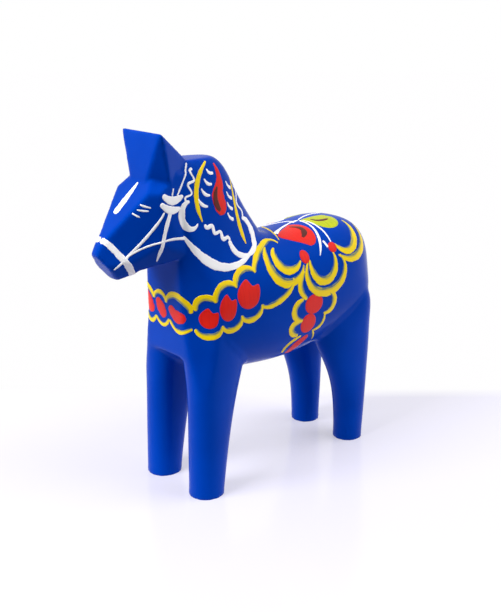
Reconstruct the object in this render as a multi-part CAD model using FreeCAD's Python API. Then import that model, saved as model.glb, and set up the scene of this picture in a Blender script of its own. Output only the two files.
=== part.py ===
import FreeCAD, Part
import math
import os

from FreeCAD import Vector

# A carved and painted toy horse, in millimetres. +X is forward (the nose), +Y is the horse's
# left and +Z is up. The origin is on the floor, under the middle of the horse.
#
# The blank is glued up from three pine boards that stand side by side, grain upright. The side
# boards carry the legs, so that the gap between left and right legs needs no sawing. The glued
# blank is sawn, carved with a knife, sanded, and dipped in primer and blue paint. The soles stay
# bare, where the horse stands to dry.

# ---- driving dimensions -------------------------------------------------------------------
CENTRE_BOARD = 19.0        # thickness of the middle board
SIDE_BOARD = 22.0          # thickness of each side board, before carving
COAT = 0.3                 # primer, filler, blue paint and lacquer together
FRONT_LEG_X = 40.15        # axis of the front legs at the floor
HIND_LEG_X = -73.85        # axis of the hind legs at the floor
EAR_TOP = 200.0            # height of the horse, floor to ear tips

RING_POINTS = 24           # points round each smooth section


def signed_power(value, power):
    return math.copysign(abs(value) ** power, value)


def closed_curve(points):
    curve = Part.BSplineCurve()
    curve.interpolate(Points=points, PeriodicFlag=True)
    return Part.Wire(curve.toShape())


def lofted(wires):
    return Part.makeLoft(wires, True)


# ---- trunk: upright sections along the length ---------------------------------------------
# x ahead of the front leg axis, half width, top and bottom heights
TRUNK = [
    (7.0, 19.0, 129.5, 80.5),
    (1.5, 24.3, 132.5, 75.0),
    (-8.0, 27.8, 134.5, 70.0),
    (-22.0, 29.6, 136.0, 65.6),
    (-40.0, 30.6, 136.6, 63.2),
    (-57.0, 31.0, 136.6, 62.4),
    (-74.0, 31.2, 137.4, 63.8),
    (-90.0, 31.0, 139.0, 67.2),
    (-104.0, 30.0, 139.6, 71.0),
    (-115.0, 27.0, 138.0, 75.0),
    (-124.0, 21.6, 133.8, 79.0),
    (-130.3, 14.8, 126.8, 83.0),
    (-133.4, 8.4, 117.5, 88.0),
    (-134.3, 3.6, 109.0, 95.0),
]
TRUNK_SQUARENESS = 2.5


def trunk(inset):
    wires = []
    for x, half_width, top, bottom in TRUNK:
        middle = (top + bottom) / 2
        half_height = (top - bottom) / 2 - inset
        points = []
        for k in range(RING_POINTS):
            turn = 2 * math.pi * k / RING_POINTS
            y = (half_width - inset) * signed_power(math.cos(turn), 2 / TRUNK_SQUARENESS)
            z = middle + half_height * signed_power(math.sin(turn), 2 / TRUNK_SQUARENESS)
            points.append(Vector(FRONT_LEG_X + x, y, z))
        wires.append(closed_curve(points))
    wires[-1].translate(Vector(inset, 0, 0))
    return lofted(wires)


# ---- legs and neck: level sections stacked upwards ----------------------------------------
def level_section(z, reach_x, axis, reach_y, squareness, inset):
    """A closed level curve, from back to front in X and from side to side in Y, widest at axis."""
    back, front = reach_x
    inner, outer = reach_y
    middle = (inner + outer) / 2
    half_width = (outer - inner) / 2 - inset
    points = []
    for k in range(RING_POINTS):
        turn = 2 * math.pi * k / RING_POINTS
        if math.cos(turn) >= 0:
            reach, square = front - inset - axis, squareness[1]
        else:
            reach, square = axis - back - inset, squareness[0]
        x = axis + reach * signed_power(math.cos(turn), 2 / square)
        y = middle + half_width * signed_power(math.sin(turn), 2 / square)
        points.append(Vector(x, y, z))
    return closed_curve(points)


# height, front and back from the leg's own axis, inner and outer side
FRONT_LEG = [
    (0.0, 9.8, -9.6, 9.7, 28.9),
    (20.0, 9.6, -13.2, 9.9, 28.6),
    (40.0, 9.3, -17.4, 9.8, 28.3),
    (58.0, 9.2, -22.4, 9.3, 28.0),
    (74.0, 9.6, -28.0, 7.2, 27.9),
    (88.0, 9.8, -32.0, 5.0, 27.6),
    (102.0, 9.0, -33.0, 5.0, 26.4),
]
HIND_LEG = [
    (0.0, 8.7, -8.7, 10.0, 27.5),
    (20.0, 9.6, -9.8, 9.9, 28.2),
    (34.0, 12.6, -10.5, 9.9, 28.6),
    (49.0, 18.6, -11.2, 9.6, 29.0),
    (63.0, 25.6, -12.2, 7.6, 29.2),
    (80.0, 32.0, -12.6, 5.0, 28.6),
    (98.0, 33.0, -7.0, 5.0, 25.6),
]
LEG_SQUARENESS = 2.15


def leg(axis, stations, inset):
    wires = []
    for z, front, back, inner, outer in stations:
        wires.append(level_section(
            z, (axis + back, axis + front), axis, (inner, outer),
            (LEG_SQUARENESS, LEG_SQUARENESS), inset))
    return lofted(wires)


# height, back and front and widest place from the front leg axis, half width, squareness at the
# back and at the front
NECK = [
    (79.0, (-38.0, 13.0), -8.0, 24.5, (2.2, 3.4)),
    (95.0, (-52.0, 14.0), -10.0, 27.6, (2.2, 3.4)),
    (112.0, (-66.0, 15.0), -12.0, 26.8, (2.0, 3.4)),
    (126.0, (-62.5, 16.0), -10.0, 23.8, (1.9, 3.4)),
    (140.0, (-52.8, 17.0), -2.0, 20.2, (1.9, 3.2)),
    (155.0, (-41.8, 18.0), 4.0, 17.6, (2.0, 3.2)),
    (168.0, (-34.0, 17.0), 4.0, 15.2, (2.1, 3.2)),
    (178.0, (-27.6, 12.0), 1.0, 11.8, (2.3, 3.0)),
    (183.9, (-19.5, 3.0), -5.0, 7.6, (2.6, 3.0)),
]


def neck(inset):
    wires = []
    for z, reach_x, widest, half_width, squareness in NECK:
        level = min(z, NECK[-1][0] - inset)
        back, front = reach_x
        wires.append(level_section(
            level, (FRONT_LEG_X + back, FRONT_LEG_X + front), FRONT_LEG_X + widest,
            (-half_width, half_width), squareness, inset))
    return lofted(wires)


# ---- knife work ------------------------------------------------------------------------------
BLOCK = 150.0              # size of the wood that one knife cut takes away


def at(x, y, z):
    """A point placed from the front leg axis."""
    return Vector(FRONT_LEG_X + x, y, z)


def beyond(point, normal, inset):
    """What lies on the normal's side of a plane through point, as a large block."""
    normal = Vector(*normal)
    normal.normalize()
    waste = Part.makeBox(2 * BLOCK, 2 * BLOCK, BLOCK, Vector(-BLOCK, -BLOCK, 0))
    turn = FreeCAD.Rotation(Vector(0, 0, 1), normal)
    waste.Placement = FreeCAD.Placement(point - normal * inset, turn)
    return waste


def knife(shape, point, normal, inset):
    return shape.cut(beyond(point, normal, inset))


# The chest has a flat front and a long bevel on each side. Lower down the bevel leans outwards,
# and it runs out on the leg.
CHEST_FRONT = at(10.3, 0, 80.0)
CHEST_WAY = (1.0, 0.0, -0.035)
BEVEL_EDGE = at(10.8, 15.9, 100.0)
UPRIGHT_BEVEL = (0.594, 0.804, 0.0)
LEANING_BEVEL = (0.615, 0.777, 0.133)


def bevel_shoulder(shape, inset):
    upright = beyond(BEVEL_EDGE, UPRIGHT_BEVEL, inset)
    leaning = beyond(BEVEL_EDGE, LEANING_BEVEL, inset)
    return shape.cut(upright.common(leaning))


# ---- head: blocks with knife cuts ----------------------------------------------------------
HEAD_HALF_WIDTH = 17.3
BROW = at(29.8, 13.7, 170.8)
NOSE_BRIDGE = at(48.8, 3.6, 149.3)
EAR_NOTCH = at(25.7, 7.6, 177.8)
NOSE_TIP = at(54.0, 0, 141.5)
JAW_CORNER = at(39.5, 10.5, 138.0)
CHIN = at(43.0, 0, 126.5)

TEMPLE_EDGE = at(24.0, HEAD_HALF_WIDTH, 165.0)
JAW_LINE = at(35.0, 0, 130.4)
THROAT = at(11.0, 0, 135.0)
LIP = at(50.5, 5.6, 136.0)
EAR_CREST = at(22.4, 0, EAR_TOP)
EAR_CORNER = at(22.6, 17.0, EAR_TOP)

# the way each cut faces
FOREHEAD = (0.749, 0, 0.662)
NOSE_FRONT = (0.898, 0, 0.44)
NOSE_UNDER = (0.806, 0, -0.59)
LIP_BEVEL = (0.444, 0.855, -0.27)
CHEEK = (0.49, 0.871, 0.03)
MUZZLE_SIDE = (0.424, 0.885, 0.191)
MUZZLE_BACK = (-0.772, 0, 0.635)
CHIN_UNDER = (-0.287, 0, -0.958)
JAW_BEVEL = (0.2, 0.874, -0.443)
JAW_UNDER = (-0.2, 0, -0.98)
BROW_BEVEL = (0.279, 0.637, 0.718)
TEMPLE = (-0.16, 0.98, 0.1)
THROAT_BACK = (-0.8, 0, -0.6)
SKULL_TOP = (0.05, 0, 1.0)
EAR_FRONT = (0.995, 0, 0.105)
EAR_HOLLOW = (0.702, 0.686, -0.192)
EAR_BACK = (-0.585, 0, 0.811)
EAR_SIDE = (-0.413, 0.91, 0.042)


def block(x_back, x_front, z_low, z_high, inset):
    width = 2 * (HEAD_HALF_WIDTH - inset)
    return Part.makeBox(x_front - x_back, width, z_high - z_low, at(x_back, -width / 2, z_low))


def nose_and_jaw(shape, inset):
    shape = knife(shape, NOSE_BRIDGE, FOREHEAD, inset)
    shape = knife(shape, NOSE_TIP, NOSE_FRONT, inset)
    shape = knife(shape, NOSE_TIP, NOSE_UNDER, inset)
    shape = knife(shape, JAW_CORNER, JAW_BEVEL, inset)
    return knife(shape, LIP, LIP_BEVEL, inset)


def skull(inset):
    shape = nose_and_jaw(block(-2.0, 60.0, 120.0, 182.0, inset), inset)
    shape = knife(shape, NOSE_BRIDGE, CHEEK, inset)
    shape = knife(shape, EAR_NOTCH, BROW_BEVEL, inset)
    shape = knife(shape, TEMPLE_EDGE, TEMPLE, inset)
    shape = knife(shape, JAW_LINE, JAW_UNDER, inset)
    shape = knife(shape, THROAT, THROAT_BACK, inset)
    return knife(shape, EAR_NOTCH, SKULL_TOP, inset)


def muzzle(inset):
    shape = nose_and_jaw(block(30.0, 60.0, 120.0, 160.0, inset), inset)
    shape = knife(shape, CHIN, CHIN_UNDER, inset)
    shape = knife(shape, NOSE_BRIDGE, MUZZLE_BACK, 0.0)
    return knife(shape, NOSE_BRIDGE, MUZZLE_SIDE, inset)


def ears(inset):
    shape = block(-2.0, 40.0, 150.0, EAR_TOP - inset, inset)
    shape = knife(shape, EAR_NOTCH, EAR_FRONT, inset)
    shape = knife(shape, EAR_NOTCH, EAR_HOLLOW, inset)
    shape = knife(shape, EAR_CREST, EAR_BACK, inset)
    return knife(shape, EAR_CORNER, EAR_SIDE, inset)


# ---- the whole figure ----------------------------------------------------------------------
def left_side(shape, y_from, y_to):
    slab = Part.makeBox(2 * BLOCK, y_to - y_from, 2 * BLOCK, Vector(-BLOCK, y_from, 0))
    return shape.common(slab)


def half_figure(inset):
    """The left half of the outer shape, everywhere inset by a distance, except at the sole."""
    shape = knife(trunk(inset).fuse(neck(inset)), CHEST_FRONT, CHEST_WAY, inset)
    shape = shape.fuse(leg(FRONT_LEG_X, FRONT_LEG, inset))
    shape = bevel_shoulder(shape.fuse(leg(HIND_LEG_X, HIND_LEG, inset)), inset)
    for piece in (skull(inset), muzzle(inset), ears(inset)):
        shape = shape.fuse(piece)
    return left_side(shape, 0.0, BLOCK)


def mirrored(shape):
    return shape.mirror(Vector(0, 0, 0), Vector(0, 1, 0))


def with_mirror_image(shape):
    return shape.fuse(mirrored(shape))


def save(shape, name):
    shape.exportStep("parts/" + name + ".step")
    print(name, "solids", len(shape.Solids), "valid", shape.isValid(), "volume", round(shape.Volume))


def main():
    os.makedirs("parts", exist_ok=True)
    wood = half_figure(COAT)
    coat = half_figure(0.0).cut(wood)
    seam = CENTRE_BOARD / 2
    side_board = left_side(wood, seam, seam + SIDE_BOARD)
    save(with_mirror_image(left_side(wood, 0.0, seam)), "centre_board")
    save(side_board, "left_board")
    save(mirrored(side_board), "right_board")
    save(with_mirror_image(coat), "blue_coat")


main()
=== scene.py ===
import math

import bmesh
import bpy
import numpy as np
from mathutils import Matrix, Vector
from mathutils.bvhtree import BVHTree


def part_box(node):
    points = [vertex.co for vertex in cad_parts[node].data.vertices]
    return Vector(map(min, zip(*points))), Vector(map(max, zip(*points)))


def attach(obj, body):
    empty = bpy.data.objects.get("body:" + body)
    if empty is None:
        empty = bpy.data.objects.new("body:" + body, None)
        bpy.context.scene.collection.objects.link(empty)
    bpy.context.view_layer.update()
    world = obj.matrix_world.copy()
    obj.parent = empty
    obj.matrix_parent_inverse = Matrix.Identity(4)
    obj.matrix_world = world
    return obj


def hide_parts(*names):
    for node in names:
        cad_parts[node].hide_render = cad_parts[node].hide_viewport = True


# The scene is in metres, in the same frame as the CAD: +X forward, +Y the horse's left, +Z up.
MM = 0.001
LEG_X = 40.15              # front leg axis, mm
LEG_SPACING = 114.0        # from there back to the hind leg axis, mm
LEG_Y = 19.0               # middle of a foot, out from the middle of the horse, mm
COAT = 0.3                 # paint thickness in the CAD, mm
SEED = 7

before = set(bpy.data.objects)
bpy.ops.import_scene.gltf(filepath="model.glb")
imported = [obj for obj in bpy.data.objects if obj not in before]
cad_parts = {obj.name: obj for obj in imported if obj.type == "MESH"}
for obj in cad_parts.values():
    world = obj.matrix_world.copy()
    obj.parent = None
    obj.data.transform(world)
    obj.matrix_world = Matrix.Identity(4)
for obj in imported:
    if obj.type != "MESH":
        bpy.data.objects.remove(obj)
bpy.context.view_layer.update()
boards = [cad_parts[name] for name in ("centre_board", "left_board", "right_board")]
rng = np.random.default_rng(SEED)


# ---- the painted skin: one smooth surface over the three boards -----------------------------
VOXEL = 0.95               # the skin's grid, mm
INSET = 1.4                # the wood is drawn in this much under the skin, mm
WOOD_VOXEL = 1.2           # the wood's grid, mm
SNAP = 1.2                 # the skin looks for the CAD's surface this far away, mm
FOOT = 1.5                 # below this height it stays where it is, mm
# passes of smoothing: on the head, elsewhere, and in hollows
LIGHT_PASSES, SOFT_PASSES, DEEP_PASSES = 2, 14, 110
SOLE_RISE = 0.2            # the bare soles sit this far above the rim of paint
# place, radius and rise, mm: the haunch swells a little over the hind leg's top
FILLS = [((-80, 25, 93), 13.0, 2.4)]
RIM = 1.3                  # width of the rim of paint, in coats
SOLE_CUT = 0.6             # the skin is cut here and carried straight down to the floor


def mesh_arrays(mesh):
    points = np.zeros(len(mesh.vertices) * 3)
    mesh.vertices.foreach_get("co", points)
    normals = np.zeros(len(mesh.vertices) * 3)
    mesh.vertices.foreach_get("normal", normals)
    return points.reshape(-1, 3), normals.reshape(-1, 3)


def polygons_of(obj):
    """Points and faces. Every object here stands at the origin, so they are the scene's own."""
    points = [tuple(v.co) for v in obj.data.vertices]
    faces = [tuple(p.vertices) for p in obj.data.polygons]
    return points, faces


def remeshed(objects, voxel):
    points, faces = [], []
    for board in objects:
        more_points, more_faces = polygons_of(board)
        start = len(points)
        points += more_points
        faces += [tuple(start + i for i in f) for f in more_faces]
    mesh = bpy.data.meshes.new("boards_together")
    mesh.from_pydata(points, [], faces)
    obj = bpy.data.objects.new("boards_together", mesh)
    bpy.context.collection.objects.link(obj)
    remesh = obj.modifiers.new("remesh", "REMESH")
    remesh.mode = "VOXEL"
    remesh.voxel_size = voxel * MM
    shape = obj.evaluated_get(bpy.context.evaluated_depsgraph_get())
    result = bpy.data.meshes.new_from_object(shape)
    bpy.data.objects.remove(obj)
    return result


def smoothed(points, edges, factor, rounds):
    count = len(points)
    a, b = edges[:, 0], edges[:, 1]
    degree = np.bincount(a, minlength=count) + np.bincount(b, minlength=count)
    degree = np.maximum(degree, 1)
    for _ in range(rounds):
        mean = np.empty_like(points)
        for k in range(3):
            total = np.bincount(a, points[b, k], count) + np.bincount(b, points[a, k], count)
            mean[:, k] = total / degree
        points = points + factor * (mean - points)
    return points


def smoothstep(x, low, high):
    t = np.clip((x - low) / (high - low), 0.0, 1.0)
    return t * t * (3 - 2 * t)


def snap_to(tree, points, limit):
    """Moves points to the nearest place on the tree's surface."""
    result = points.copy()
    for i, p in enumerate(points):
        place, _, _, distance = tree.find_nearest(Vector(p), limit)
        if place is not None:
            result[i] = place
    return result


def build_skin():
    mesh = remeshed(boards, VOXEL)
    points, normals = mesh_arrays(mesh)
    points = points + normals * COAT * MM
    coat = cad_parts["blue_coat"]
    tree = BVHTree.FromPolygons(*polygons_of(coat))
    snapped = snap_to(tree, points, SNAP * MM)
    low = points[:, 2] < FOOT * MM
    snapped[low] = points[low]
    edges = np.array([tuple(e.vertices) for e in mesh.edges])
    # x ahead of the leg axis and height, in mm, choose how soft each region is
    x, z = snapped[:, 0] / MM - LEG_X, snapped[:, 2] / MM
    lightly = smoothed(snapped, edges, 0.5, LIGHT_PASSES)
    softly = smoothed(snapped, edges, 0.5, SOFT_PASSES)
    deeply = smoothed(snapped, edges, 0.5, DEEP_PASSES)
    head = smoothstep(x + 0.35 * (z - 150), -4.0, 8.0) * smoothstep(z, 127.0, 134.0)
    filling = np.einsum("ij,ij->i", deeply - snapped, normals) / MM
    concave = smoothstep(filling, 0.05, 0.5) * (1 - head)
    base = lightly * head[:, None] + softly * (1 - head[:, None])
    final = base * (1 - concave[:, None]) + deeply * concave[:, None]
    final = smoothed(final, edges, 0.5, 1)
    for place, radius, rise in FILLS:
        apart = np.linalg.norm(final / MM - place, axis=1)
        other = np.linalg.norm(final / MM * [1, -1, 1] - place, axis=1)
        swell = rise * (np.exp(-(apart / radius) ** 2) + np.exp(-(other / radius) ** 2))
        final = final + normals * swell[:, None] * MM
    # smoothing rounds the feet, so the lowest few millimetres keep their place
    keep = smoothstep(z, 1.0, 4.0)[:, None]
    final = snapped * (1 - keep) + final * keep
    mesh.vertices.foreach_set("co", final.reshape(-1))
    mesh.update()
    return mesh


def open_soles(mesh):
    """Cuts the bottoms off, so the boards' bare soles show inside a rim of paint."""
    bm = bmesh.new()
    bm.from_mesh(mesh)
    whole = bm.verts[:] + bm.edges[:] + bm.faces[:]
    bmesh.ops.bisect_plane(
        bm, geom=whole, plane_co=(0, 0, SOLE_CUT * MM), plane_no=(0, 0, 1), clear_inner=True)
    rim = [e for e in bm.edges if e.is_boundary]
    for fall, shrink in ((SOLE_CUT * MM, 0.0), (0.0, RIM * COAT * MM)):
        made = bmesh.ops.extrude_edge_only(bm, edges=rim)["geom"]
        rim = [g for g in made if isinstance(g, bmesh.types.BMEdge)]
        for v in {v for e in rim for v in e.verts}:
            leg_x = LEG_X if v.co.x > 0 else LEG_X - LEG_SPACING
            centre = Vector((leg_x * MM, math.copysign(LEG_Y * MM, v.co.y), v.co.z))
            inward = (centre - v.co).normalized()
            v.co += inward * shrink
            v.co.z = max(v.co.z - fall, 0.0)
    bmesh.ops.recalc_face_normals(bm, faces=bm.faces)
    bm.to_mesh(mesh)
    bm.free()


def add_piece(name, mesh, material):
    obj = bpy.data.objects.new(name, mesh)
    bpy.context.collection.objects.link(obj)
    mesh.materials.clear()
    mesh.materials.append(material)
    mesh.polygons.foreach_set("use_smooth", [True] * len(mesh.polygons))
    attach(obj, "root")
    return obj


# ---- materials -------------------------------------------------------------------------------
def new_material(name):
    material = bpy.data.materials.new(name)
    material.use_nodes = True
    nodes = material.node_tree.nodes
    nodes.clear()
    shader = nodes.new("ShaderNodeBsdfPrincipled")
    output = nodes.new("ShaderNodeOutputMaterial")
    material.node_tree.links.new(shader.outputs[0], output.inputs[0])
    return material, shader


def link(material, a, b):
    material.node_tree.links.new(a, b)


def mapped_noise(material, scale, stretch=(1, 1, 1), detail=3.0):
    nodes = material.node_tree.nodes
    place = nodes.new("ShaderNodeTexCoord")
    mapping = nodes.new("ShaderNodeMapping")
    mapping.inputs["Scale"].default_value = stretch
    noise = nodes.new("ShaderNodeTexNoise")
    noise.inputs["Scale"].default_value = scale
    noise.inputs["Detail"].default_value = detail
    link(material, place.outputs["Object"], mapping.inputs["Vector"])
    link(material, mapping.outputs[0], noise.inputs["Vector"])
    return noise.outputs["Fac"]


def ramp(material, factor, stops):
    node = material.node_tree.nodes.new("ShaderNodeValToRGB")
    elements = node.color_ramp.elements
    while len(elements) < len(stops):
        elements.new(0.5)
    for element, (place, colour) in zip(elements, stops):
        element.position = place
        element.color = (*colour, 1.0)
    link(material, factor, node.inputs["Fac"])
    return node.outputs["Color"]


def bump(material, shader, height, distance, after=None):
    node = material.node_tree.nodes.new("ShaderNodeBump")
    node.inputs["Distance"].default_value = distance
    link(material, height, node.inputs["Height"])
    if after is not None:
        link(material, after, node.inputs["Normal"])
    link(material, node.outputs["Normal"], shader.inputs["Normal"])
    return node.outputs["Normal"]


def blue_paint():
    material, shader = new_material("blue_gloss_paint")
    cloud = mapped_noise(material, 28.0, detail=4.0)
    colour = ramp(material, cloud, [(0.3, (0.0, 0.040, 0.37)), (0.7, (0.0, 0.050, 0.44))])
    link(material, colour, shader.inputs["Base Color"])
    haze = mapped_noise(material, 60.0, detail=2.0)
    rough = ramp(material, haze, [(0.3, (0.16, 0.16, 0.16)), (0.7, (0.24, 0.24, 0.24))])
    link(material, rough, shader.inputs["Roughness"])
    shader.inputs["IOR"].default_value = 1.16
    shader.inputs["Specular IOR Level"].default_value = 0.6
    shader.inputs["Specular Tint"].default_value = (0.0, 0.5, 1.0, 1.0)
    grain = mapped_noise(material, 260.0, stretch=(1, 1, 0.08), detail=2.0)
    peel = mapped_noise(material, 320.0, detail=1.0)
    first = bump(material, shader, grain, 0.00004)
    bump(material, shader, peel, 0.00003, after=first)
    return material


def pine():
    material, shader = new_material("bare_pine")
    nodes = material.node_tree.nodes
    place = nodes.new("ShaderNodeTexCoord")
    mapping = nodes.new("ShaderNodeMapping")
    mapping.inputs["Scale"].default_value = (1.0, 0.35, 0.06)
    mapping.inputs["Rotation"].default_value = (0.0, 0.05, 0.5)
    rings = nodes.new("ShaderNodeTexWave")
    rings.wave_type = "RINGS"
    rings.rings_direction = "Z"
    rings.inputs["Scale"].default_value = 170.0
    rings.inputs["Distortion"].default_value = 2.5
    rings.inputs["Detail"].default_value = 3.0
    link(material, place.outputs["Object"], mapping.inputs["Vector"])
    link(material, mapping.outputs[0], rings.inputs["Vector"])
    colour = ramp(material, rings.outputs["Fac"], [
        (0.0, (0.62, 0.40, 0.20)), (0.55, (0.74, 0.53, 0.30)), (1.0, (0.44, 0.24, 0.10))])
    link(material, colour, shader.inputs["Base Color"])
    fibres = mapped_noise(material, 900.0, stretch=(1, 1, 0.05))
    bump(material, shader, fibres, 0.0002)
    shader.inputs["Roughness"].default_value = 0.72
    return material


# ---- brush strokes: thin raised paint laid on the skin ---------------------------------------
# A stroke's points are in mm and read in one of these views:
#   side   (x, z), laid on from the horse's own side
#   front  (y, z), laid on from ahead
#   round  (x, degrees about the trunk's axis), 0 at the side and 90 on the back
#   space  (x, y, z), laid on the nearest place
# stroke() and patch() paint on the left and again, mirrored, on the right.
TRUNK_AXIS = 100.0
REACH = 90.0               # the casts start this far out, mm
ROW = 0.6                  # distance between a stroke's rows
LANE = 0.55                # distance between its lanes
FILM = 0.09                # height of the paint film
CROWN = 0.07               # the middle of a stroke stands this much higher
LAYER = 0.05               # each layer of paint stands this much over the one below
SUNK = -0.08               # the edges go into the skin
FULL_TONE = 0.12           # tone in the middle of a stroke or patch, where 1 is worn through

RIGHT_FROM = 50.0          # above this many degrees the right side is pressed together
RIGHT_REACH = 0.6          # to this share of its height
BROADER = 1.25             # the yellow strokes, with their worn side

paint = {}                 # piece name: [points, faces, uvs]


def through(points, closed=False, per_span=10):
    """A smooth line through the points."""
    p = np.array(points, float)
    if closed:
        p = np.vstack([p[-1:], p, p[:2]])
    else:
        p = np.vstack([2 * p[0] - p[1], p, 2 * p[-1] - p[-2]])
    t = np.linspace(0, 1, per_span, endpoint=False)[:, None]
    spans = []
    for a, b, c, d in zip(p, p[1:], p[2:], p[3:]):
        bend = (2 * a - 5 * b + 4 * c - d) * t ** 2 + (3 * b - a - 3 * c + d) * t ** 3
        spans.append(0.5 * (2 * b + (c - a) * t + bend))
    if not closed:
        spans.append(p[-2:-1])
    return np.vstack(spans)


def nearest(point):
    place, normal, _, _ = skin_tree.find_nearest(Vector(point) * MM)
    return np.array(place) / MM, np.array(normal)


def lower(degrees):
    """The right side's flowers stop short of the back's ridge, where the left's reach it."""
    return degrees - (1 - RIGHT_REACH) * max(degrees - RIGHT_FROM, 0)


def cast(view, hand, spot):
    """Where a spot of a view falls on the skin, and the skin's normal there."""
    if view == "side":
        start, way = (spot[0], hand * REACH, spot[1]), (0, -hand, 0)
    elif view == "front":
        start, way = (2 * REACH, spot[0], spot[1]), (-1, 0, 0)
    elif view == "round":
        turn = math.radians(spot[1] if hand > 0 else lower(spot[1]))
        out = Vector((0, hand * math.cos(turn), math.sin(turn)))
        start = Vector((spot[0], 0, TRUNK_AXIS)) + REACH * out
        way = -out
    else:
        return nearest((spot[0], hand * spot[1], spot[2]))
    place, normal, _, _ = skin_tree.ray_cast(Vector(start) * MM, Vector(way))
    if place is None:
        # a cast that misses the horse takes the nearest place to a point on its way
        return nearest(Vector(start) + Vector(way) * REACH * 0.8)
    return np.array(place) / MM, np.array(normal)


def evenly(line, step):
    gaps = np.linalg.norm(np.diff(line, axis=0), axis=1)
    along = np.concatenate([[0.0], np.cumsum(gaps)])
    rows = max(int(round(along[-1] / step)), 3) + 1
    at = np.linspace(0, along[-1], rows)
    return np.column_stack([np.interp(at, along, line[:, k]) for k in range(3)]), at


def soften(values, rounds):
    for _ in range(rounds):
        values[1:-1] = (values[:-2] + 2 * values[1:-1] + values[2:]) / 4
    return values


def lefts(line, hand):
    """The direction to a line's left along it, seen from outside; hand mirrors it."""
    normals = soften(np.array([nearest(p)[1] for p in line]), 4)
    along = soften(np.gradient(line, axis=0), 2)
    left = np.cross(normals, along) * hand
    return left / np.linalg.norm(left, axis=1)[:, None]


def add_paint(name, points, faces, uvs):
    store = paint.setdefault(name, [[], [], []])
    start = len(store[0])
    a, b, c = (points[i] for i in faces[len(faces) // 2][:3])
    if np.dot(np.cross(b - a, c - a), nearest(a)[1]) < 0:
        faces = [f[::-1] for f in faces]
    store[0].extend(points)
    store[1].extend([tuple(start + i for i in f) for f in faces])
    store[2].extend(uvs)


def height(edge, layer):
    """Film height from the edge, 0, to the middle, 1."""
    if edge <= 0:
        return SUNK
    return FILM + LAYER * layer + CROWN * math.sqrt(edge)


def grid_faces(rows, lanes):
    starts = [i * lanes + j for i in range(rows - 1) for j in range(lanes - 1)]
    return [(a, a + 1, a + lanes + 1, a + lanes) for a in starts]


def lay_stroke(name, hand, view, points, widths, fade, layer):
    placed = np.array([cast(view, hand, spot)[0] for spot in through(points)])
    line, along = evenly(placed, ROW)
    line = soften(line, 1)
    length = along[-1]
    width = np.interp(along / length, np.linspace(0, 1, len(widths)), widths)
    width = width * (BROADER if fade else 1.0)
    width = soften(width, 3)
    phase = rng.uniform(0, 2 * math.pi, 2)
    width *= 1 + 0.05 * np.sin(along * 0.9 + phase[0]) + 0.03 * np.sin(along * 2.3 + phase[1])
    for end, far in ((width[0], along), (width[-1], length - along)):
        inside = np.clip(1 - far / max(end / 2, 0.3), 0, 1)
        width = width * np.sqrt(np.maximum(1 - inside ** 2, 0.02))
    left = lefts(line, hand)
    lanes = max(int(round(width.max() / LANE)), 4) + 1
    across = np.sin(np.linspace(-1, 1, lanes) * math.pi / 2)
    shift = rng.uniform(0, 50)
    made, uvs = [], []
    for p, side, w, s in zip(line, left, width, along):
        for t in across:
            place, normal = nearest(p + side * t * w / 2)
            made.append(place + normal * height(1 - abs(t), layer))
            tone = 0.5 + 0.5 * t * fade if fade else FULL_TONE + 0.3 * abs(t)
            uvs.append((tone, (s + shift) / 100, t * w / 200))
    # closed ends: the first and last rows go into the skin
    for row in (0, len(line) - 1):
        for j in range(lanes):
            k = row * lanes + j
            place, normal = nearest(made[k])
            made[k] = place + normal * SUNK
    add_paint(name, made, grid_faces(len(line), lanes), uvs)


def lay_patch(name, hand, view, outline, centre, layer):
    """A filled shape: rings from its outline in to its centre."""
    edge = through(outline, closed=True, per_span=8)
    centre = np.array(centre, float)
    rings = (1.0, 0.96, 0.88, 0.72, 0.54, 0.36, 0.18)   # closer together at the raised edge
    shift = rng.uniform(0, 50)
    made, uvs = [], []
    for ring in rings:
        for spot in edge:
            place, normal = cast(view, hand, centre + (spot - centre) * ring)
            made.append(place + normal * height(min((1 - ring) * 2, 1), layer))
            tone = FULL_TONE + 0.55 * max(ring - 0.6, 0)
            uvs.append((tone, (place[2] + shift) / 100, place[0] / 100))
    place, normal = cast(view, hand, centre)
    made.append(place + normal * height(1, layer))
    uvs.append((FULL_TONE, (place[2] + shift) / 100, place[0] / 100))
    count = len(edge)
    faces = []
    for r in range(len(rings) - 1):
        for j in range(count):
            a, b = r * count + j, r * count + (j + 1) % count
            faces.append((a, b, b + count, a + count))
    last = (len(rings) - 1) * count
    faces += [(last + j, last + (j + 1) % count, last + count) for j in range(count)]
    add_paint(name, made, faces, uvs)


HANDS = (("left", 1), ("right", -1))


def stroke(name, view, points, widths, fade=0, layer=0, hands=HANDS):
    for side, hand in hands:
        lay_stroke(f"{name}_{side}", hand, view, points, widths, fade, layer)


def patch(name, view, outline, centre, layer=0):
    for side, hand in HANDS:
        lay_patch(f"{name}_{side}", hand, view, outline, centre, layer)


# ---- the brush's movements: each gives a stroke's or an outline's points ------------------------
def chord(start, end):
    """Start and the way to the end, and the unit direction to the left of that way."""
    start, way = np.array(start, float), np.subtract(end, start).astype(float)
    return start, way, np.array((-way[1], way[0])) / np.linalg.norm(way)


def bow(start, end, bulge, steps=6):
    """An arc that swells to the left of its way."""
    start, way, left = chord(start, end)
    return [start + way * t + left * bulge * 4 * t * (1 - t) for t in np.linspace(0, 1, steps + 1)]


def scallop(start, end, bulge, steps=8):
    """Half an oval, so that it meets the next one in a cusp."""
    start, way, left = chord(start, end)
    turns = np.linspace(0, math.pi, steps + 1)
    return [start + way * (1 - math.cos(a)) / 2 + left * bulge * math.sin(a) for a in turns]


def wave(start, end, swings, depth):
    """A line that swings from side to side."""
    start, way, left = chord(start, end)
    steps = np.linspace(0, 1, round(8 * swings) + 1)
    return [start + way * t + left * depth * math.sin(2 * math.pi * swings * t) for t in steps]


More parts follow.
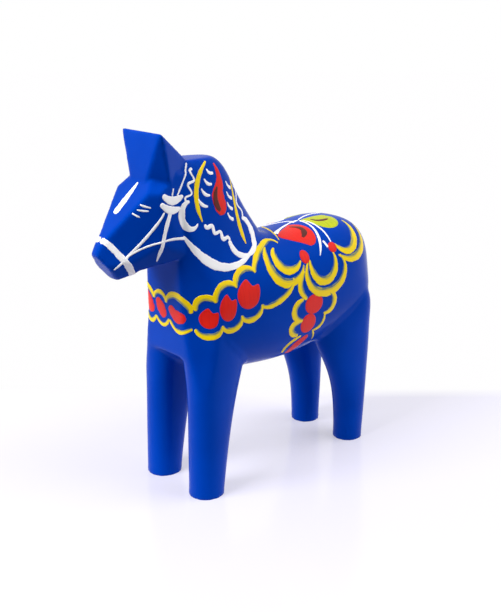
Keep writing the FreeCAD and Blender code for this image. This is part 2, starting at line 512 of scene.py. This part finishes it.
def sweep(centre, radii, first, last, steps=12):
    """Part of an oval, from one direction in degrees to another."""
    turns = np.radians(np.linspace(first, last, steps + 1))
    return [(centre[0] + radii[0] * math.cos(a), centre[1] + radii[1] * math.sin(a)) for a in turns]


def oval(centre, radii):
    return sweep(centre, radii, 0, 330, 11)


def flower(centre, radii):
    """An oval with two pointed tips and a notched edge between them."""
    rim = [(angle, 1.0) for angle in (40, 0, -45, -90, -135, -180)]
    rim = [(85, 1.12)] + rim + [(148, 1.15), (128, 0.75), (106, 0.85)]
    return [(centre[0] + radii[0] * far * math.cos(math.radians(angle)),
             centre[1] + radii[1] * far * math.sin(math.radians(angle))) for angle, far in rim]


def drop(centre, radii, tip, towards):
    """An oval drawn out to a tip, which lies towards a direction in degrees."""
    return [tip] + sweep(centre, radii, towards + 75, towards + 300, 8)


# ---- the decoration, in the order it is painted -------------------------------------------------
LEAF = (0.8, 3.0, 4.2, 4.6, 4.4, 2.8, 0.8)         # a loaded brush set down, drawn and lifted
TICK = (0.8, 2.4, 1.2)
HAIRLINE = (1.0, 1.4, 0.6)


def paint_face():
    lay_stroke("white_blaze", 1, "front", bow((1, 175), (-2, 160), 0), (1.2, 3.4, 4.4, 4.2), 0, 0)
    lashes = (((73.5, 166), (68.5, 164)), ((75, 163.5), (69.5, 162.5)), ((77, 162), (73.5, 159.5)))
    for root, tip in lashes:
        stroke("white_eyelashes", "side", bow(root, tip, 0.2), (0.7, 1.3, 0.6))


MOUTH = (87, 134)
THROAT_LATCH = (65, 135.5)
NOSEBAND_CENTRE = (82, 0, 138)
NOSEBAND_UP = (8, 0, 11)   # from its centre to the bridge of the nose
NOSEBAND_OUT = 10.0


def noseband():
    """A tilted ring round the muzzle, from the bridge of the nose to under the chin."""
    points = []
    for turn in np.radians(np.linspace(0, 162, 9)):
        rise = np.array(NOSEBAND_UP) * math.cos(turn)
        points.append(np.array(NOSEBAND_CENTRE) + rise + (0, NOSEBAND_OUT * math.sin(turn), 0))
    return points


def paint_bridle():
    name = "white_bridle"
    stroke(name, "space", noseband(), (3.2, 3.2, 3.6, 3.8, 3.6), layer=1)
    stroke(name, "side", bow((62.5, 161.5), MOUTH, -1.5), (1.0, 1.6, 1.7, 1.6, 1.5, 0.8))
    stroke(name, "side", bow((58.5, 161), THROAT_LATCH, 1.5), (2.6, 2.8, 2.4, 2.2, 2.4, 0.6))
    stroke(name, "side", bow(MOUTH, (49, 146), -5.5), (1.1, 1.2, 1.1, 1.1, 1.4, 1.8), layer=1)
    rein = (1.2, 3.8, 5.6, 4.4, 3.2, 1.8, 0.6)
    stroke(name, "side", bow((51, 147.5), (0.5, 136.5), 14), rein, layer=1)
    stroke(name, "side", bow((53, 168), (41.5, 183), 0), (1.3, 1.2, 1.0))
    stroke(name, "side", bow((56.5, 168.5), (55, 172.5), 0), (1.2, 0.7))
    stroke(name, "side", bow((63, 170), (49, 168), 2.8), (2.2, 4.2, 4.4, 4.0, 1.0), layer=1)
    stroke(name, "side", bow((64.5, 166), (51.5, 162), 2.2), (1.8, 3.8, 4.2, 3.8, 1.2), layer=2)


def paint_mane():
    white = "white_mane"
    yellow = "yellow_mane"
    stroke(white, "side", wave((39.5, 180), (47.5, 164), 2.5, 1.7), (1.8, 1.2, 1.7, 1.0, 1.4))
    stroke(white, "side", sweep((46, 157.5), (5.3, 7), 95, -140), (1.4, 3.0, 4.2, 4.2, 2.8, 0.5))
    for k in range(4):
        ahead = np.array((30.5 + 3.2 * k, 179 - 4.5 * k))
        stroke(white, "side", bow(ahead, ahead - (4.5 + 0.6 * k, 2.5 + 0.9 * k), 1.4), TICK)
        behind = np.array((17 + 0.9 * k, 171 - 5.3 * k))
        stroke(white, "side", bow(behind, behind - (4.5, 4.5), 1.1), (0.6, 1.9, 2.2))
    stroke(white, "side", wave((9.5, 167), (7, 149.5), 1.5, -1.6), (0.6, 1.3, 1.5, 1.5))
    stroke(white, "side", sweep((9.5, 140.5), (9, 9.5), 100, 275), (1.8, 4.2, 5.6, 4.0, 1.8, 1.0))
    stroke(white, "side", bow((22, 141), (9, 131.5), 3.6), (2.6, 3.6, 3.4, 1.4), layer=1)
    stroke(white, "side", wave((37.5, 152), (21.5, 140.5), 3, 1.3), (2.0, 2.6, 1.8, 2.6, 1.6))
    stroke(yellow, "side", bow((29, 182.5), (39, 153), 6.5), (1.0, 2.2, 3.2, 3.2, 2.8, 0.8))
    stroke(yellow, "side", bow((11, 171.5), (9, 136.5), 1.8), (0.6, 1.7, 2.2, 2.6, 3.2, 3.4, 0.7))
    comma = bow((24, 181), (23, 170), -1) + bow((23, 170), (21, 155.5), 3.4)[1:]
    stroke("red_mane", "side", comma, (0.8, 3.2, 5.6, 9.2, 10.0, 6.6))
    stroke("brown_mane", "side", bow((25, 169.5), (25, 156.5), 2.9), (0.8, 3.4, 4.0, 2.4), layer=2)


def paint_breast():
    yellow = "yellow_breast"
    lay_stroke(yellow, 1, "front", bow((-17.5, 116), (-9, 109), 1.3), (2.0, 2.6, 2.4), -1, 1)
    lay_stroke(yellow, 1, "front", scallop((-9, 109), (1.5, 108.5), 4.8), (1.8, 2.5, 2.0), -1, 1)
    lay_stroke(yellow, 1, "front", scallop((1.5, 108.5), (18, 105.5), 7.4), (2.0, 3.6, 2.4), -1, 1)
    for start, end in (((-17, 100), (-8, 99.5)), ((-8, 99.5), (3.5, 100)), ((4, 100), (19, 97.5))):
        lay_stroke(yellow, 1, "front", bow(start, end, -4), (1.6, 2.5, 1.5), 1, 1)
    for start, end, bulge in (((-16.5, 112), (-11, 100.5), 0), ((-6.5, 110), (0, 100), 0),
                              ((4.5, 108), (16.5, 103.5), -2.8)):
        lay_stroke("red_breast", 1, "front", bow(start, end, bulge), (3.6, 7.4, 5.6), 0, 0)


def paint_garland():
    upper = [(45.5, 107), (37, 111), (24, 117), (10, 122.5), (-15, 133)]
    lower_edge = [(46.5, 97.5), (34.5, 98.5), (22.5, 102), (9, 105.5), (-15, 116)]
    for start, end, bulge in zip(upper, upper[1:], (5, 5.8, 5.5, 5)):
        stroke("yellow_garland", "side", scallop(start, end, -bulge), (1.8, 3.2, 3.4, 3.0, 1.2), -1, 1)
    for start, end, bulge in zip(lower_edge, lower_edge[1:], (5, 5.4, 5.4, 5.6)):
        stroke("yellow_garland", "side", scallop(start, end, bulge), (1.4, 2.8, 3.2, 2.9, 1.2), 1, 1)
    for centre, radii in (((40.5, 102.5), (4.3, 5.3)), ((30.5, 107), (5.2, 7)), ((17, 112), (7.6, 7.6))):
        patch("red_garland", "side", flower(centre, radii), centre)


def paint_saddle():
    left_only = HANDS[:1]
    loops = (((-13, 46), (12.5, 22), 48, -158), ((-15.5, 49), (9, 13.5), 50, -150),
             ((-40.5, 27), (15, 21), 35, -215), ((-39, 36), (9.5, 18), 15, -200),
             ((-60, 62), (11, 21.5), -38, -207), ((-62, 62), (17, 29), -53, -196))
    for centre, radii, first, last in loops:
        stroke("yellow_saddle", "round", sweep(centre, radii, first, last), LEAF, 1, 1)
    stroke("yellow_saddle", "round", bow((-26, 104), (-17.5, 66), 0), HAIRLINE, hands=left_only)
    patch("lime_saddle", "round", drop((-58, 76), (9, 13), (-46.5, 88), 45), (-58, 76))
    stroke("brown_saddle", "round", bow((-52, 84), (-62, 76), 4), (0.8, 2.2, 3.0, 0.8), layer=2)
    patch("red_saddle", "round", drop((-36, 69), (7, 17), (-19.5, 71), 0), (-36, 69))
    for centre, radii in (((-27, 44), (3.2, 6.5)), ((-49, 46), (3, 4.8))):
        patch("red_saddle", "round", oval(centre, radii), centre, layer=2)
    stroke("brown_saddle", "round", bow((-34, 82), (-33, 62), -5), (0.8, 3.0, 4.0, 1.6), layer=2)
    white = "white_saddle"
    stroke(white, "round", bow((-43.5, 91), (-20.5, 76.5), 1.8), (1.0, 1.2, 1.6, 3.4), layer=1)
    stroke(white, "round", bow((-46, 88), (-38, 41), -2.6), (0.9, 1.1, 1.3, 2.0, 1.8, 0.4), layer=2)
    stroke(white, "round", bow((-47.5, 87), (-49.5, 50), -0.5), (0.8, 1.0, 1.2, 0.9), layer=2)
    stroke(white, "round", bow((-44.5, 54), (-46, 46.5), 0), (1.6, 1.8), layer=1)
    stroke(white, "round", bow((-41, 88), (-46, 89), -1), (1.2, 2.0, 1.2), layer=3)
    stroke(white, "round", bow((-43, 91), (-28, 104.5), 2.7), HAIRLINE, hands=left_only)
    stroke(white, "round", bow((-46.5, 90), (-69, 95), -2.8), HAIRLINE, hands=left_only)


def paint_girth():
    yellow = "yellow_girth"
    width = (1.6, 3.2, 3.6, 3.2, 1.6)
    stroke(yellow, "round", bow((-24, 32), (-24.5, 3.5), 4.5), (1.8, 3.2, 3.4, 1.8), 1, 1)
    stroke(yellow, "side", scallop((-22, 102), (-22, 90), 7), width, 1, 1)
    stroke(yellow, "side", scallop((-21.5, 89.5), (-20, 81), 7), width, 1, 1)
    stroke(yellow, "round", bow((-23, -35.5), (-13.5, -53), 4.2), (1.2, 2.0, 2.2, 1.4), 1, 1)
    stroke(yellow, "side", scallop((-41, 103.5), (-38, 91), -7), width, -1, 1)
    stroke(yellow, "side", bow((-39, 91), (-31, 81.5), -3.6), (1.2, 2.4, 2.4, 1.2), -1, 1)
    stroke(yellow, "round", bow((-31.5, -34), (-34, -46), -1), (1.0, 1.8, 1.2), -1, 1)
    for centre, radii in (((-30, 98), (7, 5.9)), ((-26.5, 87), (6, 5.9))):
        patch("red_girth", "side", oval(centre, radii), centre)
    stroke("red_girth", "round", bow((-29, -37.5), (-19, -58), 2.5), (2.4, 6.0, 7.0, 4.0))


def brush_streaks(material, across, along):
    """Noise drawn out along each stroke."""
    nodes = material.node_tree.nodes
    place = nodes.new("ShaderNodeUVMap")
    place.uv_map = "along"
    mapping = nodes.new("ShaderNodeMapping")
    mapping.inputs["Scale"].default_value = (along, across, 1.0)
    noise = nodes.new("ShaderNodeTexNoise")
    noise.inputs["Scale"].default_value = 1.0
    link(material, place.outputs["UV"], mapping.inputs["Vector"])
    link(material, mapping.outputs[0], noise.inputs["Vector"])
    return noise.outputs["Fac"]


def stroke_tone(material, streaks, amount):
    """0 on a stroke's full side and 1 on its worn side, broken up by the streaks."""
    nodes = material.node_tree.nodes
    place = nodes.new("ShaderNodeUVMap")
    place.uv_map = "tone"
    parts = nodes.new("ShaderNodeSeparateXYZ")
    link(material, place.outputs["UV"], parts.inputs[0])
    spread = nodes.new("ShaderNodeMath")
    spread.operation = "MULTIPLY_ADD"
    spread.inputs[1].default_value = amount
    spread.inputs[2].default_value = -amount / 2
    link(material, streaks, spread.inputs[0])
    total = nodes.new("ShaderNodeMath")
    total.operation = "ADD"
    link(material, parts.outputs["X"], total.inputs[0])
    link(material, spread.outputs[0], total.inputs[1])
    return total.outputs[0]


def stroke_paint(name, stops, streak=1.0):
    material, shader = new_material(name)
    streaks = brush_streaks(material, 150.0, 9.0)
    colour = ramp(material, stroke_tone(material, streaks, streak), stops)
    link(material, colour, shader.inputs["Base Color"])
    shader.inputs["Roughness"].default_value = 0.28
    shader.inputs["IOR"].default_value = 1.4
    shader.inputs["Specular IOR Level"].default_value = 0.3
    ridges = brush_streaks(material, 420.0, 6.0)
    bump(material, shader, ridges, 0.00005)
    return material


def make_stroke_paints():
    blue = (0.0, 0.04, 0.40)
    yellow = [(0.0, (0.95, 0.70, 0.004)), (0.56, (0.93, 0.67, 0.008)), (0.74, (0.50, 0.43, 0.07)),
              (0.87, (0.12, 0.19, 0.16)), (1.0, blue)]
    white = [(0.0, (1.0, 1.0, 1.0)), (0.5, (0.97, 0.97, 1.0)), (0.8, (0.60, 0.66, 0.92))]
    red = [(0.0, (0.80, 0.022, 0.012)), (0.42, (0.72, 0.016, 0.014)), (0.75, (0.30, 0.012, 0.06))]
    brown = [(0.0, (0.085, 0.020, 0.016)), (0.45, (0.13, 0.022, 0.016)), (0.7, (0.40, 0.02, 0.014))]
    lime = [(0.0, (0.34, 0.42, 0.006)), (0.22, (0.52, 0.54, 0.006)), (0.5, (0.26, 0.40, 0.02))]
    return {
        "white": (stroke_paint("white_brush_paint", white), "white_paint"),
        "yellow": (stroke_paint("yellow_brush_paint", yellow, 0.8), "yellow_paint"),
        "red": (stroke_paint("red_brush_paint", red), "red_paint"),
        "brown": (stroke_paint("brown_brush_paint", brown), "brown_paint"),
        "lime": (stroke_paint("lime_brush_paint", lime), "yellow_paint"),
    }


def hang_paint():
    """Makes one piece of each place's strokes in one colour."""
    kinds = make_stroke_paints()
    for name, (points, faces, uvs) in paint.items():
        mesh = bpy.data.meshes.new(name)
        mesh.from_pydata([tuple(np.array(p) * MM) for p in points], [], faces)
        corners = [mesh.loops[i].vertex_index for i in range(len(mesh.loops))]
        tone = mesh.uv_layers.new(name="tone")
        along = mesh.uv_layers.new(name="along")
        tone.data.foreach_set("uv", [c for i in corners for c in (uvs[i][0], 0.5)])
        along.data.foreach_set("uv", [c for i in corners for c in (uvs[i][1], uvs[i][2])])
        material, slot = kinds[name.split("_")[0]]
        add_piece(name, mesh, material)


# ---- build -----------------------------------------------------------------------------------
def cut_away(bm, place, outwards):
    """Takes off what lies beyond a plane, and closes the cut."""
    whole = bm.verts[:] + bm.edges[:] + bm.faces[:]
    bmesh.ops.bisect_plane(bm, geom=whole, plane_co=place, plane_no=outwards, clear_outer=True)
    bmesh.ops.holes_fill(bm, edges=[e for e in bm.edges if e.is_boundary], sides=0)


def add_boards():
    """The glued blank, drawn in a little under the paint and parted again at its seams."""
    wood = pine()
    blank = remeshed(boards, WOOD_VOXEL)
    points, normals = mesh_arrays(blank)
    depth = INSET * smoothstep(points[:, 2] / MM, 2.0, 8.0)
    points -= normals * depth[:, None] * MM
    blank.vertices.foreach_set("co", points.reshape(-1))
    middle_low, middle_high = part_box("centre_board")
    for board in boards:
        low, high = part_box(board.name)
        bm = bmesh.new()
        bm.from_mesh(blank)
        if high[1] > middle_high[1]:
            cut_away(bm, (0, middle_high[1], 0), (0, -1, 0))
        elif low[1] < middle_low[1]:
            cut_away(bm, (0, middle_low[1], 0), (0, 1, 0))
        else:
            cut_away(bm, (0, middle_high[1], 0), (0, 1, 0))
            cut_away(bm, (0, middle_low[1], 0), (0, -1, 0))
        if low[2] < SOLE_RISE * MM:
            cut_away(bm, (0, 0, SOLE_RISE * MM), (0, 0, -1))
        mesh = bpy.data.meshes.new(board.name + "_wood")
        bm.to_mesh(mesh)
        bm.free()
        piece = add_piece(board.name + "_wood", mesh, wood)
        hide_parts(board.name)


skin_mesh = build_skin()
open_soles(skin_mesh)
skin = add_piece("blue_paint_coat", skin_mesh, blue_paint())
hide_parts("blue_coat")
skin_tree = BVHTree.FromPolygons(*polygons_of(skin))
add_boards()
paint_face()
paint_bridle()
paint_mane()
paint_breast()
paint_garland()
paint_saddle()
paint_girth()
hang_paint()


# ---- studio ----------------------------------------------------------------------------------
CAMERA_PLACE = (0.3537, 0.4109, 0.2663)
CAMERA_YAW = 228.52        # degrees, the way it looks, seen from above
CAMERA_PITCH = -17.47
LENS = 58.9


def add_camera():
    data = bpy.data.cameras.new("camera")
    data.lens = LENS
    data.sensor_width = 36.0
    data.clip_start = 0.01
    camera = bpy.data.objects.new("camera", data)
    camera.location = CAMERA_PLACE
    camera.rotation_euler = (
        math.radians(90 + CAMERA_PITCH), 0.0, math.radians(CAMERA_YAW - 90))
    bpy.context.collection.objects.link(camera)
    bpy.context.scene.camera = camera


def area_light(name, place, target, size, power):
    data = bpy.data.lights.new(name, "AREA")
    data.size = size
    data.energy = power
    lamp = bpy.data.objects.new(name, data)
    lamp.location = place
    lamp.rotation_euler = (Vector(target) - Vector(place)).to_track_quat("-Z", "Y").to_euler()
    lamp.visible_glossy = False
    bpy.context.collection.objects.link(lamp)


VIEW_X = math.cos(math.radians(CAMERA_YAW))      # the camera's level direction
VIEW_Y = math.sin(math.radians(CAMERA_YAW))
FLOOR_LINE = 0.099         # the floor turns to white backdrop this far behind the origin
FLOOR_NEAR = 0.18          # the floor ends this far in front of it
FLOOR_SIDE = 3.0           # and reaches this far the other ways


def floor_material():
    material, shader = new_material("studio_floor")
    nodes = material.node_tree.nodes
    cloud = mapped_noise(material, 3.0, detail=1.0)
    colour = ramp(material, cloud, [(0.3, (0.40, 0.39, 0.48)), (0.7, (0.42, 0.41, 0.50))])
    link(material, colour, shader.inputs["Base Color"])
    shader.inputs["Roughness"].default_value = 0.17
    shader.inputs["Emission Color"].default_value = (0.98, 0.96, 1.0, 1.0)
    shader.inputs["Emission Strength"].default_value = 0.42
    shader.inputs["Specular IOR Level"].default_value = 0.45
    place = nodes.new("ShaderNodeTexCoord")
    across = nodes.new("ShaderNodeVectorMath")
    across.operation = "DOT_PRODUCT"
    across.inputs[1].default_value = (VIEW_X, VIEW_Y, 0.0)
    link(material, place.outputs["Object"], across.inputs[0])
    edge = nodes.new("ShaderNodeMapRange")
    edge.inputs["From Min"].default_value = FLOOR_LINE - 0.004
    edge.inputs["From Max"].default_value = FLOOR_LINE + 0.012
    link(material, across.outputs["Value"], edge.inputs["Value"])
    white = nodes.new("ShaderNodeEmission")
    white.inputs["Color"].default_value = (1.0, 0.995, 1.0, 1.0)
    mix = nodes.new("ShaderNodeMixShader")
    output = next(n for n in nodes if n.bl_idname == "ShaderNodeOutputMaterial")
    link(material, edge.outputs[0], mix.inputs[0])
    link(material, shader.outputs[0], mix.inputs[1])
    link(material, white.outputs[0], mix.inputs[2])
    link(material, mix.outputs[0], output.inputs[0])
    return material


def add_floor():
    along = Vector((VIEW_X, VIEW_Y, 0)).normalized()
    across = Vector((-along.y, along.x, 0))
    corners = [
        -FLOOR_NEAR * along - FLOOR_SIDE * across, -FLOOR_NEAR * along + FLOOR_SIDE * across,
        FLOOR_SIDE * along + FLOOR_SIDE * across, FLOOR_SIDE * along - FLOOR_SIDE * across]
    mesh = bpy.data.meshes.new("studio_floor")
    mesh.from_pydata([tuple(c) for c in corners], [], [(0, 3, 2, 1)])
    mesh.materials.append(floor_material())
    obj = bpy.data.objects.new("studio_floor", mesh)
    bpy.context.collection.objects.link(obj)


def add_world():
    """White all round to look at, with a dark zone behind the camera for the paint to mirror."""
    world = bpy.data.worlds.new("studio_world")
    world.use_nodes = True
    nodes, links = world.node_tree.nodes, world.node_tree.links
    background = nodes["Background"]
    place = nodes.new("ShaderNodeTexCoord")
    dot = nodes.new("ShaderNodeVectorMath")
    dot.operation = "DOT_PRODUCT"
    dot.inputs[1].default_value = Vector((0.55, 0.80, 0.05)).normalized()
    links.new(place.outputs["Generated"], dot.inputs[0])
    shade = nodes.new("ShaderNodeValToRGB")
    shade.color_ramp.elements[0].position = 0.45
    shade.color_ramp.elements[0].color = (1.0, 1.0, 1.0, 1)
    shade.color_ramp.elements[1].position = 0.80
    shade.color_ramp.elements[1].color = (0.02, 0.02, 0.025, 1)
    links.new(dot.outputs["Value"], shade.inputs["Fac"])
    parts = nodes.new("ShaderNodeSeparateXYZ")
    links.new(place.outputs["Generated"], parts.inputs[0])
    level = nodes.new("ShaderNodeMapRange")
    level.inputs["From Min"].default_value = -0.12
    level.inputs["From Max"].default_value = 0.02
    level.inputs["To Min"].default_value = 0.05
    level.inputs["To Max"].default_value = 0.62
    links.new(parts.outputs["Z"], level.inputs["Value"])
    links.new(shade.outputs["Color"], background.inputs["Color"])
    links.new(level.outputs[0], background.inputs["Strength"])
    seen = nodes.new("ShaderNodeBackground")
    seen.inputs["Color"].default_value = (1.0, 1.0, 1.0, 1)
    seen.inputs["Strength"].default_value = 1.0
    ray = nodes.new("ShaderNodeLightPath")
    mix = nodes.new("ShaderNodeMixShader")
    links.new(ray.outputs["Is Camera Ray"], mix.inputs[0])
    links.new(background.outputs[0], mix.inputs[1])
    links.new(seen.outputs[0], mix.inputs[2])
    links.new(mix.outputs[0], nodes["World Output"].inputs[0])
    bpy.context.scene.world = world


add_world()
add_floor()
area_light("softbox_front", (0.72, -0.1, 0.72), (0.06, 0, 0.15), 0.5, 10.5)
area_light("softbox_left", (-0.42, 0.45, 0.76), (0, 0, 0.1), 0.6, 5.0)
add_camera()
scene = bpy.context.scene
scene.view_settings.view_transform = "Standard"
